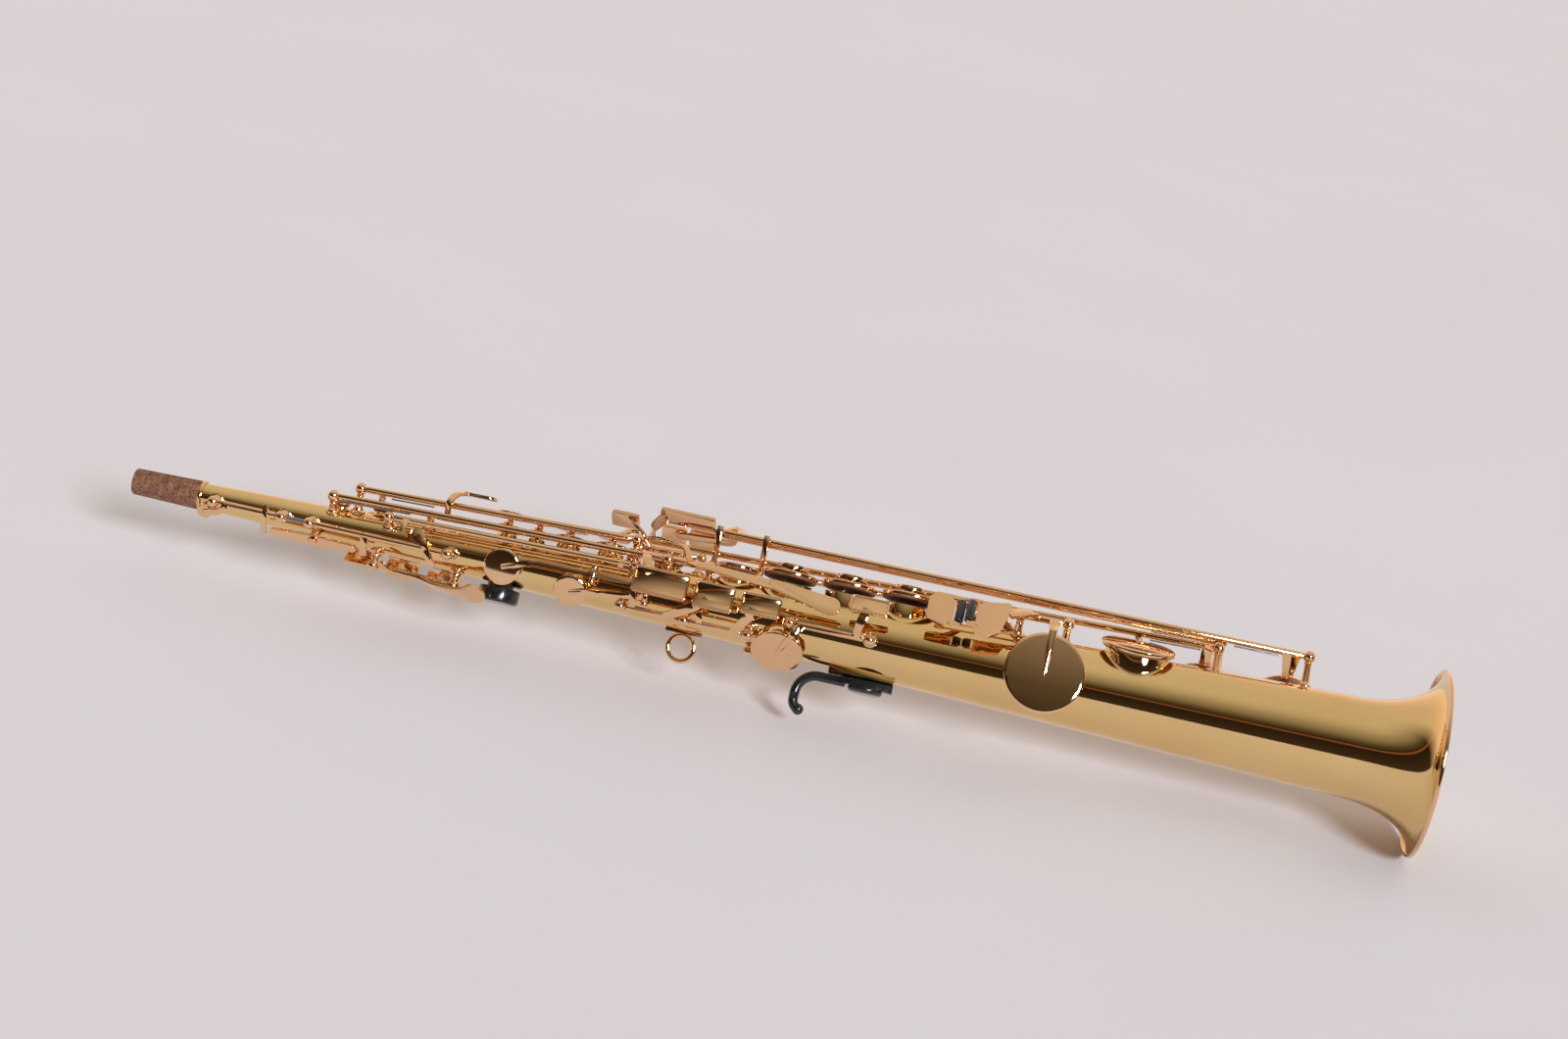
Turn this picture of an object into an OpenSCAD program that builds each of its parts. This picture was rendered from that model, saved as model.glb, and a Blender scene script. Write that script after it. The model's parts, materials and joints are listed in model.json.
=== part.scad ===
// Soprano saxophone, one-piece straight body, lying keys-up on its bell rim and thumb hook.
// Frame: +X along the body from the cork tip to the bell, +Z up, player's right side towards -Y.
// Stations are distances along X. Angles go round the body from the front stack (0) to the
// player's right (90), the back (180) and the left (-90). Radii are measured from the body's axis.

/* [Body] */
// Length from the cork tip to the bell rim
body_l = 645; // [643:1:650]
// Outer radius of the bell at its rim
bell_r = 46; // [45:0.5:47]
// Wall thickness of the body tube
wall = 0.7; // [0.6:0.1:0.8]
// How far the horn is rolled back from keys-up
roll = 25; // [20:1:30]

/* [Neck] */
// Length of the cork sleeve
cork_l = 34; // [32:1:36]
// Radius of the cork where a mouthpiece seats
cork_r = 7.2; // [7.1:0.1:7.4]

/* [Key work] */
// Diameter of the hinge tubes
barrel_d = 3.3; // [3.1:0.1:3.4]
// Diameter of the steel hinge rods
rod_d = 2; // [1.8:0.1:2]
// Diameter of the ball on a post
ball_d = 6; // [5.6:0.1:6.2]
// Radial clearance of a hinge tube on its rod
hinge_gap = 0.06; // [0.04:0.01:0.08]
// Thickness of the flat key arms
arm_t = 1.6; // [1.4:0.1:1.8]

/* [Hidden] */

$fn = 48;
arm_fn = 24;
lacquer = "goldenrod";
pink_lacquer = "tan";
steel = "slategray";
leather = "saddlebrown";
pearl = "ivory";
black = "#202024";
cork = "sienna";

// The body is one straight cone from the cork's shoulder to the start of the flare
neck_l = cork_l;
neck_tip_r = 6.36;
taper = 0.032;
flare_x = body_l - 40;
function tube_r(x) = neck_tip_r + taper * (x - neck_l);
flare_r = tube_r(flare_x);

// Gap left between a soldered foot and the tube, and between a pad and its tone hole
seat = 0.03;
pad_gap = 0.1;
rim_t = 0.8;        // wall of a tone hole
pad_t = 2.2;
cup_h = 3.4;

// Tone holes: [station, angle, hole diameter, rim height above the tube, cup diameter]
H_HIGH_E = [104, 6, 5.6, 1.4, 9];
H_HIGH_FS = [124, -8, 6, 1.4, 10];
H_PALM_F = [118, -60, 6, 1.4, 10];
H_PALM_EB = [137, -60, 7, 1.4, 11];
H_PALM_D = [156, -60, 8, 1.4, 12];
H_LH_B = [187, -12, 9, 2.2, 14];
H_BIS = [202, -12, 7, 2.2, 11];
H_LH_A = [218, -12, 11, 2.2, 16];
H_LH_G = [239, -12, 12, 2.2, 17];
H_GSHARP = [268, 4, 12, 2, 17];
H_SIDE_C = [191, 101, 12.6, 2, 18];
H_SIDE_BB = [226, 116, 11.6, 2, 16.4];
H_FS_VENT = [302, 0, 15, 2.6, 20];
H_RH_F = [328, 0, 21.6, 3.4, 27.6];
H_RH_E = [357.3, 0, 21.6, 3.4, 27.6];
H_RH_D = [386.6, 0, 21.6, 3.4, 27.6];
H_ALT_FS = [330, 136, 18.5, 2.4, 25.4];
H_EB = [428, -36, 18, 2.6, 24];
H_LOW_C = [457, 88, 31, 3.6, 38.5];
H_LOW_CS = [499, 12, 29, 2.2, 36];
H_LOW_B = [533, -78, 31, 3.4, 38.5];
H_LOW_BB = [575, -74, 32, 3.4, 39.5];
HOLES = [
    H_HIGH_E, H_HIGH_FS, H_PALM_F, H_PALM_EB, H_PALM_D, H_LH_B, H_BIS, H_LH_A, H_LH_G,
    H_GSHARP, H_SIDE_C, H_SIDE_BB, H_FS_VENT, H_RH_F, H_RH_E, H_RH_D, H_ALT_FS, H_EB,
    H_LOW_C, H_LOW_CS, H_LOW_B, H_LOW_BB
];
function rim_r(h) = tube_r(h[0]) + h[3];

// Octave vents: [station, angle, pip radius, height]
PIP_UP = [39.5, 133, 1.9, 2.4];
PIP_LOW = [147, 80, 2.2, 2.6];

// Hinge lines: two points, each [station, angle, radius]
L_OCT = [[44, 100, 12.3], [164, 100, 17]];
L_THUMB = [[127, 160, 16.6], [168, 160, 18.2]];
L_LINK = [[131, 57, 16.5], [255, 57, 20.4]];
L_PALM = [[106, -97, 15], [170, -97, 17.4]];
L_E = [[101.5, 40, 17.5], [290, 40, 23.5]];
L_FS = [[113, 18, 20.9], [252, 18, 25.3]];
L_LH = [[150, 29, 16.4], [250.5, 29, 19.6]];
L_SIDE = [[252, 116, 21.3], [315, 116, 23.3]];
L_ALT = [[334, 90, 22.2], [373, 90, 23.4]];
L_GS = [[252, -16, 22.5], [283, -16, 23.5]];
L_RH = [[288.5, -35, 26.9], [404.5, -31, 29.9]];
L_EBC = [[403, 20, 28.2], [464, 20, 30.1]];
L_LCS = [[250, -25.6, 28.3], [538, -20, 35.7]];
L_LB = [[288.5, -23.6, 39.9], [539, -23.4, 40.2]];
L_LBB = [[288.5, -13.6, 38.4], [581, -13.1, 39.6]];

// Posts, by hinge line: the stations where a ball post holds the rod, and the ball's diameter
POSTS = [
    [L_OCT, [44, 79, 93.5, 164], ball_d], [L_THUMB, [127, 168], ball_d],
    [L_PALM, [106, 126.5, 146, 170], ball_d], [L_E, [101.5, 269.5, 290], ball_d],
    [L_FS, [113, 252], ball_d], [L_LH, [150, 250.5], 4.6], [L_LINK, [131, 255], 5.4],
    [L_SIDE, [252, 283.5, 315], ball_d], [L_ALT, [334, 373], ball_d], [L_GS, [252, 283], 5],
    [L_RH, [404.5], ball_d], [L_EBC, [403, 441, 464], ball_d], [L_LCS, [250, 538], ball_d],
    [L_LB, [539], ball_d], [L_LBB, [581], ball_d]
];

// See-saw pivots of the side keys: [station, angle, radius], square to the body's axis
P_SIDE_C = [236, 82, 19.4];
P_SIDE_BB = [263, 98, 19.8];
pivot_half = 2.4;
ear_t = 1.6;

// How far each sprung key stands from its tone hole at rest, in degrees about its hinge
OPEN_LH = 7;
OPEN_RH = 6;
OPEN_LOW = 5;

// ---------- places and directions ----------

function pt(x, a, r) = [x, -r * sin(a), r * cos(a)];
function radial(a) = [0, -sin(a), cos(a)];
function unit(v) = v / norm(v);
function line_a(l) = pt(l[0][0], l[0][1], l[0][2]);
function line_b(l) = pt(l[1][0], l[1][1], l[1][2]);
function line_dir(l) = unit(line_b(l) - line_a(l));
function on_line(l, x) = line_a(l) + (line_b(l) - line_a(l)) * (x - l[0][0]) / (l[1][0] - l[0][0]);
function angle_of(p) = atan2(-p[1], p[2]);
function line_angle(l, x) = angle_of(on_line(l, x));

// Everything is drawn keys-up and then rolled back into its lying pose
module lie() rotate([-roll, 0, 0]) children();

// A frame at p with its X along one vector and its Z as near as can be to another
module frame(p, along, up) {
    x = unit(along);
    z = unit(up - (up * x) * x);
    y = cross(z, x);
    multmatrix([
        [x[0], y[0], z[0], p[0]],
        [x[1], y[1], z[1], p[1]],
        [x[2], y[2], z[2], p[2]],
        [0, 0, 0, 1]
    ]) children();
}

// A frame on the body's axis, with Z pointing out at angle a
module facing(x, a) translate([x, 0, 0]) rotate([a, 0, 0]) children();

// Turns the children about a hinge line
module swing(l, angle) {
    p = line_a(l);
    frame(p, line_dir(l), [0, 0, 1])
        rotate([angle, 0, 0])
            back_to_world(p, line_dir(l), [0, 0, 1]) children();
}

module back_to_world(p, along, up) {
    x = unit(along);
    z = unit(up - (up * x) * x);
    y = cross(z, x);
    multmatrix([
        [x[0], x[1], x[2], -x * p],
        [y[0], y[1], y[2], -y * p],
        [z[0], z[1], z[2], -z * p],
        [0, 0, 0, 1]
    ]) children();
}

// ---------- pieces that repeat ----------

// Round bar along a hinge line between two stations
module line_bar(l, xa, xb, d) {
    p = on_line(l, xa);
    q = on_line(l, xb);
    frame(p, q - p, [0, 0, 1]) rotate([0, 90, 0]) cylinder(h = norm(q - p), d = d);
}

module bore(l, xa, xb) line_bar(l, xa - 3, xb + 3, rod_d + 2 * hinge_gap);

// Flat bar with round ends, from p to q, its face towards up
module bar(p, q, up, wp, wq, t = arm_t) {
    run = norm(q - p);
    frame(p, q - p, up) translate([0, 0, -t / 2]) linear_extrude(t) {
        circle(d = wp, $fn = arm_fn);
        translate([run, 0]) circle(d = wq, $fn = arm_fn);
        polygon([[0, wp / 2], [run, wq / 2], [run, -wq / 2], [0, -wp / 2]]);
    }
}

// A path with its bends rounded
bend_run = 3;
bend_steps = 3;
function soft_path(p) = [
    p[0],
    for (i = [1 : 1 : len(p) - 2])
        let (
            run = min(bend_run, 0.45 * norm(p[i] - p[i - 1]), 0.45 * norm(p[i + 1] - p[i])),
            a = p[i] + run * unit(p[i - 1] - p[i]),
            b = p[i] + run * unit(p[i + 1] - p[i])
        )
        for (k = [0 : bend_steps])
            let (u = k / bend_steps) (1 - u) * (1 - u) * a + 2 * u * (1 - u) * p[i] + u * u * b,
    p[len(p) - 1]
];

// Flat arm swept through [station, angle, radius] points, narrowing along the way
module arm(path, w0 = 3.4, w1 = 2.6, t = arm_t) {
    c = soft_path([for (v = path) pt(v[0], v[1], v[2])]);
    n = len(c) - 1;
    lead = unit(cross(c[n] - c[0], radial(angle_of(c[n] + c[0]))));
    points = [
        for (i = [0 : n])
            let (
                along = unit(c[min(i + 1, n)] - c[max(i - 1, 0)]),
                across = cross(along, radial(angle_of(c[i]))) + 0.35 * lead,
                side = unit(across - (across * along) * along),
                up = cross(side, along),
                w = (w0 + (w1 - w0) * i / n) / 2
            )
            for (v = [[-w, -t / 2], [w, -t / 2], [w, t / 2], [-w, t / 2]])
                c[i] + v[0] * side + v[1] * up
    ];
    walls = [
        for (i = [0 : n - 1], k = [0 : 3])
            let (a = 4 * i + k, b = 4 * i + (k + 1) % 4)
            for (face = [[a, b, b + 4], [a, b + 4, a + 4]]) face
    ];
    polyhedron(points, concat(walls, [
        [0, 2, 1], [0, 3, 2], [4 * n, 4 * n + 1, 4 * n + 2], [4 * n, 4 * n + 2, 4 * n + 3]
    ]));
}

// The [station, angle, radius] point on a hinge line
function hinge(l, x) = [x, line_angle(l, x), norm([on_line(l, x)[1], on_line(l, x)[2]])];

// The point on top of a closed cup
function cup_top(h) = [h[0], h[1], rim_r(h) + pad_gap + cup_h - arm_t / 2 + 0.5];

// Cup that holds a pad, drawn closed on its tone hole
module cup(h) {
    r = h[4] / 2;
    facing(h[0], h[1]) translate([0, 0, rim_r(h) + pad_gap]) rotate_extrude() polygon([
        [0, pad_t + seat], [r - 0.8, pad_t + seat], [r - 0.8, 0.9], [r - 0.1, 0.9],
        [r, 1.2], [r, cup_h - 0.9], [r - 0.9, cup_h - 0.3], [0, cup_h]
    ]);
}

module pad(h) color(leather)
    facing(h[0], h[1]) translate([0, 0, rim_r(h) + pad_gap]) cylinder(h = pad_t, d = h[4] - 1.7);

// Rounded rectangular touch with a dished face, centred on its foot
module tile(x, a, r, len_x, w, t = 2, dish = 22) {
    c = 1.6;
    facing(x, a) translate([0, 0, r]) difference() {
        linear_extrude(t) {
            square([len_x - 2 * c, w], center = true);
            square([len_x, w - 2 * c], center = true);
            for (i = [-1, 1], j = [-1, 1])
                translate([i * (len_x / 2 - c), j * (w / 2 - c)]) circle(r = c, $fn = arm_fn);
        }
        translate([-len_x, 0, dish + t - 0.7]) rotate([0, 90, 0]) cylinder(h = 2 * len_x, r = dish);
    }
}

// Holder for a pearl, on a stem that stands on a cup
module pearl_seat(x, a, r0, r1, d) {
    facing(x, a) {
        translate([0, 0, r0]) cylinder(h = r1 - r0, d = 3.2, $fn = arm_fn);
        translate([0, 0, r1]) difference() {
            cylinder(h = 2.2, d = d);
            translate([0, 0, 0.8]) cylinder(h = 2, d = d - 1.4);
        }
    }
}

module pearl_disc(x, a, r1, d) color(pearl)
    facing(x, a) translate([0, 0, r1 + 0.8 + seat]) {
        cylinder(h = 1.3, d = d - 1.4 - 2 * seat);
        translate([0, 0, 1.3]) cylinder(h = 0.5, d1 = d - 1.5, d2 = d - 4);
    }

// Ball post: pillar, ball and foot, standing on the tube at a station of a hinge line
module post(l, x, ball) {
    a = line_angle(l, x);
    r = hinge(l, x)[2];
    foot = tube_r(x) - 0.6;
    facing(x, a) {
        translate([0, 0, r]) sphere(d = ball);
        translate([0, 0, foot]) cylinder(h = r - foot, d1 = 4.4, d2 = 3);
        translate([0, 0, foot]) cylinder(h = 1.3, d = 7.4);
    }
}

// The tube's outside as one solid, grown by gap
module tube_solid(gap) rotate([0, 90, 0])
    translate([0, 0, neck_l]) cylinder(h = flare_x - neck_l, r1 = neck_tip_r + gap, r2 = flare_r + gap);

// ---------- body ----------

neck_r = 5.6;       // outside of the bare tube under the cork
module body_tube() color(lacquer) lie() difference() {
    union() {
        rotate([0, 90, 0]) cylinder(h = neck_l, r = neck_r);
        tube_solid(0);
        for (h = HOLES) facing(h[0], h[1]) cylinder(h = rim_r(h), d = h[2] + 2 * rim_t);
    }
    tube_bore();
    for (h = HOLES) facing(h[0], h[1]) cylinder(h = rim_r(h) + 5, d = h[2]);
}

module tube_bore() rotate([0, 90, 0]) {
    translate([0, 0, -1]) cylinder(h = neck_l + 2, r = neck_r - wall);
    translate([0, 0, neck_l]) cylinder(h = flare_x - neck_l, r1 = neck_r - wall, r2 = flare_r - wall);
    translate([0, 0, flare_x - 0.1]) cylinder(h = 5, r = flare_r - wall);
}

// The flare: a quarter of an ellipse turned about the axis
flare_steps = 12;
module bell_flare() color(lacquer) lie() translate([flare_x, 0, 0]) rotate([0, 90, 0])
    rotate_extrude($fn = 96) polygon(concat(
        [for (i = [0 : flare_steps]) flare_pt(i * 90 / flare_steps, 0)],
        [for (i = [flare_steps : -1 : 0]) flare_pt(i * 90 / flare_steps, wall)]
    ));
function flare_pt(t, inset) = [
    bell_r - 1 - (bell_r - 1 - flare_r + inset) * cos(t),
    (body_l - flare_x - 1) * sin(t) + inset * sin(t)
];

module bell_rim() color(pink_lacquer) lie() translate([body_l - 1.1, 0, 0]) rotate([0, 90, 0])
    difference() {
        rotate_extrude() translate([bell_r - 1.1, 0]) circle(r = 1.1, $fn = arm_fn);
        translate([0, 0, -3]) cylinder(h = 6, r = bell_r - 1 + seat / 2);
    }

module neck_ring() color(pink_lacquer) lie() translate([neck_l, 0, 0]) rotate([0, 90, 0])
    difference() {
        cylinder(h = 1.6, r = 7.5);
        translate([0, 0, -1]) cylinder(h = 4, r = tube_r(neck_l + 2) + seat);
    }

module neck_cork() color(cork) lie() rotate([0, 90, 0])
    difference() {
        cylinder(h = cork_l - seat, r = cork_r);
        translate([0, 0, -1]) cylinder(h = cork_l + 2, r = neck_r + seat);
    }

module octave_pips() color(pink_lacquer) lie() difference() {
    for (v = [PIP_UP, PIP_LOW]) facing(v[0], v[1]) {
        translate([0, 0, tube_r(v[0]) - 0.5]) cylinder(h = v[3] + 0.5, r = v[2]);
    }
    for (v = [PIP_UP, PIP_LOW]) facing(v[0], v[1])
        translate([0, 0, tube_r(v[0]) - 1]) cylinder(h = v[3] + 3, r = 0.8);
    tube_solid(seat);
}

module posts() color(pink_lacquer) lie() difference() {
    union() {
        for (p = POSTS, x = p[1]) post(p[0], x, p[2]);
        for (x = BRACKETS) rod_bracket(x);
        pivot_ears(P_SIDE_C);
        pivot_ears(P_SIDE_BB);
        rocker_post();
        back_knob();
    }
    for (p = POSTS) line_bar(p[0], p[0][0][0] - 4, p[0][1][0] + 4, rod_d + 2 * seat);
    for (l = [L_LCS, L_LB, L_LBB]) guide_hole(l, BRACKETS[1]);
    guide_hole(L_LCS, BRACKETS[0]);
    for (p = [P_SIDE_C, P_SIDE_BB]) cross_bar(p, 6, rod_d + 2 * seat);
    tube_solid(seat);
}

// Tall flat brackets: they carry the lower stack's rod and the long bell-key rods, and guide
// the tubes that pass through them
BRACKETS = [L_LB[0][0], 312];
bracket_t = 2.6;
guide_gap = 0.12;
BRACKET = [[10.4, 8], [12.6, 18], [9, 26], [5.6, 37], [6.4, 40.2], [10.6, 40.3], [17.6, 38.8],
    [18.6, 36], [16, 31], [17.6, 23], [15.4, 6]];
module guide_hole(l, x) line_bar(l, x - 3, x + 3, barrel_d + 2 * guide_gap);
module rod_bracket(x) translate([x - bracket_t / 2, 0, 0]) rotate([90, 0, 90])
    linear_extrude(bracket_t) polygon(BRACKET);

// Two ears that carry a see-saw key's cross pin
module pivot_ears(p) facing(p[0], p[1])
    for (s = [-1, 1]) translate([0, s * (pivot_half + 0.3 + ear_t / 2), 0]) {
        translate([-1.7, -ear_t / 2, tube_r(p[0]) - 2]) cube([3.4, ear_t, p[2] - tube_r(p[0]) + 2]);
        translate([0, ear_t / 2, p[2]]) rotate([90, 0, 0]) cylinder(h = ear_t, d = 3.4);
    }

// Bar along a see-saw key's cross pin, centred on the pivot
module cross_bar(p, half, d) facing(p[0], p[1])
    translate([0, half, p[2]]) rotate([90, 0, 0]) cylinder(h = 2 * half, d = d);

// The octave rocker turns flat on a stud that stands out of the tube
ROCKER = [96, 134, 14.2];
rocker_stud_d = 2.4;
module rocker_post() facing(ROCKER[0], ROCKER[1]) {
    foot = tube_r(ROCKER[0]) - 0.6;
    translate([0, 0, foot]) cylinder(h = ROCKER[2] - 1.2 - foot, d1 = 5, d2 = 4.2);
    translate([0, 0, foot]) cylinder(h = ROCKER[2] + 2 - foot, d = rocker_stud_d);
    translate([0, 0, ROCKER[2] + 1.2]) cylinder(h = 1.2, d = 4.6);
}

// Knurled stop that stands on the back of the tube
module back_knob() facing(316, 165) translate([0, 0, tube_r(316) - 0.6]) {
    cylinder(h = 3, d = 4);
    translate([0, 0, 3]) sphere(d = 5.6);
}

module hinge_rods() color(steel) lie() {
    for (p = POSTS) line_bar(p[0], p[0][0][0] - rod_out, p[0][1][0] + rod_out, rod_d);
    for (p = [P_SIDE_C, P_SIDE_BB]) cross_bar(p, pivot_half + 0.3 + ear_t, rod_d);
}
rod_out = 2.4;      // how far a rod reaches past the centre of its end post

// ---------- fittings on the back ----------

ring_wire = 2.6;
RING = [283, 180, 22.6, 6.4];
module strap_ring() color(pink_lacquer) lie() difference() {
    facing(RING[0], RING[1]) {
        translate([0, 0, RING[2]]) rotate([90, 0, 0]) rotate_extrude()
            translate([RING[3], 0]) circle(d = ring_wire, $fn = arm_fn);
        translate([-9, -3, tube_r(RING[0]) - 3]) cube([18, 6, 4.3]);
    }
    tube_solid(seat);
}

HOOK = [372, 175];      // middle of the thumb hook's plate
screw_x = 3;            // the hook's screw, from the middle of the plate
module hook_plate() color(lacquer) lie() difference() {
    facing(HOOK[0], HOOK[1]) translate([-16, 0, 0]) intersection() {
        rotate([0, 90, 0]) cylinder(h = 32, r = tube_r(HOOK[0]) + 2.2);
        translate([0, -7, 5]) cube([32, 14, 30]);
    }
    tube_solid(seat);
    facing(HOOK[0] + screw_x, HOOK[1]) cylinder(h = 40, d = 3.2);
}

hook_d = 4.8;
hook_bend = 10;
tip_bend = 5;
module thumb_hook() color(black) lie() facing(HOOK[0], HOOK[1]) {
    base = tube_r(HOOK[0]) + 2.2 + seat;
    difference() {
        translate([-9, -5, base]) cube([25, 10, 3.4]);
        translate([screw_x, 0, base - 1]) cylinder(h = 10, d = 3.2);
    }
    // The finger of the hook: out of the base, round a bend and away from the body
    out = base + hook_d / 2;
    fall = out + hook_bend + 3;
    translate([-20, 0, out]) rotate([0, 90, 0]) cylinder(h = 13, d = hook_d);
    translate([-20, 0, out + hook_bend]) rotate([90, 0, 0]) rotate([0, 0, 180])
        rotate_extrude(angle = 90) translate([hook_bend, 0]) circle(d = hook_d, $fn = arm_fn);
    translate([-20 - hook_bend, 0, out + hook_bend]) cylinder(h = 3, d = hook_d);
    translate([-20 - hook_bend + tip_bend, 0, fall]) {
        rotate([90, 0, 0]) rotate([0, 0, 110]) rotate_extrude(angle = 70)
            translate([tip_bend, 0]) circle(d = hook_d, $fn = arm_fn);
        translate([tip_bend * cos(110), 0, tip_bend * sin(110)]) sphere(d = 5.6);
    }
}

// Its thumb wheel clamps the hook to the plate
module hook_screw() color(black) lie() facing(HOOK[0] + screw_x, HOOK[1]) {
    head = tube_r(HOOK[0]) + 2.2 + 3.4 + 0.1;
    translate([0, 0, tube_r(HOOK[0]) + 0.4]) cylinder(h = head - tube_r(HOOK[0]), d = 3.1);
    translate([0, 0, head]) cylinder(h = 1.8, d = 17);
    translate([0, 0, head + 1.8]) cylinder(h = 0.8, d1 = 17, d2 = 14.6);
}

REST = [190, 177];       // middle of the thumb rest
module thumb_rest() color(black) lie() difference() {
    facing(REST[0], REST[1]) translate([0, 0, tube_r(REST[0])]) {
        translate([0, 0, -2]) cylinder(h = 5, d = 13);
        translate([0, 0, 2]) cylinder(h = 6, d = 20);
        translate([0, 0, 8]) cylinder(h = 1, d1 = 20, d2 = 18.4);
    }
    tube_solid(seat);
}

// Needle springs lie along the hinge lines, just under the tubes: [line, from, to]
SPRINGS = [
    [L_OCT, 82, 91], [L_PALM, 129, 140], [L_PALM, 149, 163], [L_LINK, 133.5, 141],
    [L_E, 104, 140], [L_FS, 129, 150], [L_SIDE, 286, 300], [L_ALT, 337, 352],
    [L_RH, 291, 300], [L_LCS, 505, 529], [L_LBB, 545, 566], [L_LB, 505, 528]
];
module needle_springs() color(steel) lie() for (s = SPRINGS) {
    p = hinge(s[0], s[1]);
    q = hinge(s[0], s[2]);
    bar(pt(p[0], p[1], p[2] - 2.5), pt(q[0], q[1], q[2] - 2.5), radial(p[1]), 0.7, 0.7, 0.7);
}

// ---------- keys ----------

// A key: its hinge tube between two stations, its arms and cups, bored for the rod and
// turned open about the rod
module key(l, xa, xb, open = 0) swing(l, open) difference() {
    union() {
        line_bar(l, xa, xb, barrel_d);
        children();
    }
    bore(l, xa, xb);
}

// Arm that leaves a hinge line, goes over the cup's edge and ends in a point at its middle
module cup_arm(l, x, h, bow, w = 3.6) {
    root = hinge(l, x);
    top = cup_top(h);
    side = root[1] > h[1] ? 1 : -1;
    over = h[4] / 2 + 0.8;
    edge_a = h[1] + side * atan(over / (top[2] + bow));
    edge_r = norm([over, top[2] + bow]);
    arm([[x, root[1], root[2] + 0.6], [x + (h[0] - x) * 0.4, edge_a, edge_r], top], w, 1.6);
}

// A cup with its pad and its arm
module padded_cup(l, x, h, bow = 0.4, w = 3.6) {
    cup(h);
    cup_arm(l, x, h, bow, w);
}

// Small cup of an octave key, closed on its pip
module small_cup(v, d) facing(v[0], v[1]) translate([0, 0, tube_r(v[0]) + v[3] + pad_gap]) {
    cylinder(h = 1.2, d = d - 1.4);
    translate([0, 0, 1]) cylinder(h = 1.6, d = d);
}

module upper_octave_key() color(pink_lacquer) lie() key(L_OCT, 46.9, 76.1) {
    small_cup(PIP_UP, 7.2);
    arm([[51, 100, 13.6], [48.5, 117, 14], [39.5, 133, 11.4]], 3, 3);
    arm([[71, 84, 14.6], [71, 101, 15.2], [71, 124, 15], [71, 143, 14.2]], 2.4, 2.8);
}

module octave_rocker() color(pink_lacquer) lie() facing(ROCKER[0], ROCKER[1])
    translate([0, 0, ROCKER[2] - 0.8]) difference() {
        union() {
            cylinder(h = 1.6, d = 6.4);
            for (s = [-1, 1]) rotate([0, 0, s > 0 ? 0 : 180]) linear_extrude(1.6) {
                translate([20, 0]) circle(d = 4, $fn = arm_fn);
                polygon([[0, 3], [20, 2], [20, -2], [0, -3]]);
            }
        }
        translate([0, 0, -1]) cylinder(h = 4, d = rocker_stud_d + 2 * hinge_gap);
    }

module lower_octave_key() color(pink_lacquer) lie() key(L_OCT, 96.4, 161.1) {
    small_cup(PIP_LOW, 8);
    arm([[122, 103, 16.2], [122, 118, 16.6], [122, 137, 16.2]], 3.4, 3.4);
    arm([[153, 100, 17.4], [152, 92, 18], [147, 81, 16.2]], 3.2, 3.4);
    arm([[153, 100, 17.4], [156, 116, 18.4], [158, 124, 18]], 3.2, 3);
}

module octave_thumb_lever() color(pink_lacquer) lie() key(L_THUMB, 129.9, 165.1) {
    arm([[150, 160, 18], [160, 156, 21], [170, 152, 22.4], [178, 147, 22.8]], 3.6, 8);
    facing(180, 145) translate([0, 0, 22]) cylinder(h = 1.6, d = 12);
    arm([[137, 160, 17.6], [134, 148, 18.6], [131, 140, 18]], 3.6, 3);
}

module octave_link() color(pink_lacquer) lie() key(L_LINK, 134, 252) {
    arm([[140, 57, 17.4], [140, 68, 18.4], [140, 80, 18.2]], 3, 2.6);
    arm([[248, 57, 20.6], [248, 68, 21.4]], 3, 2.6);
}

// Palm keys: cup on the left, touch wrapped round towards the back
module palm_key(h, xa, xb, touch_x, touch_r, len_x) {
    key(L_PALM, xa, xb) {
        padded_cup(L_PALM, (xa + xb) / 2, h);
        mid = (xa + xb) / 2;
        arm([hinge(L_PALM, mid), [touch_x, -114, touch_r], [touch_x, -128, touch_r + 0.5]], 3.4, 6);
        tile(touch_x, -132, touch_r - 0.6, len_x, 11);
    }
}
module palm_f_key() color(lacquer) lie() palm_key(H_PALM_F, 109.2, 123.4, 116, 18, 15);
module palm_eb_key() color(lacquer) lie() palm_key(H_PALM_EB, 129.6, 142.9, 137, 20.5, 16);
module palm_d_key() color(lacquer) lie() palm_key(H_PALM_D, 149.1, 166.9, 158, 23, 17);

T_HIGH_E = [269.5, 79, 25.4];
T_SIDE_C = [296, 81, 25.4];
T_SIDE_BB = [319, 80, 26.2];
module high_e_key() color(pink_lacquer) lie() key(L_E, 104.6, 266.4) {
    padded_cup(L_E, 108, H_HIGH_E);
    arm([[259, 40, 23.4], [260, 56, 26.8], [264, 72, 26.8]], 4, 5);
    tile(T_HIGH_E[0], T_HIGH_E[1], T_HIGH_E[2], 27, 13);
}

module high_fs_key() color(pink_lacquer) lie() key(L_FS, 116.1, 249) {
    padded_cup(L_FS, 124, H_HIGH_FS);
    arm([[244, 18, 26], [246, 10, 28], [250, 3, 28.2]], 3, 3);
}

module high_fs_touch() color(pink_lacquer) lie() key(L_E, 272.6, 286.9) {
    arm([[279, 40, 23.8], [284, 50, 27.6], [304, 54.5, 28.8], [322, 58, 29.6]], 3.2, 4.6);
    bar(pt(323, 58, 29.7), pt(351.6, 67.5, 30.2), radial(64), 5.4, 9);
    arm([[280, 40, 24], [276, 26, 28.4], [262, 5, 27.6], [251.4, 2, 25.6]], 3, 2.6);
}

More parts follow.
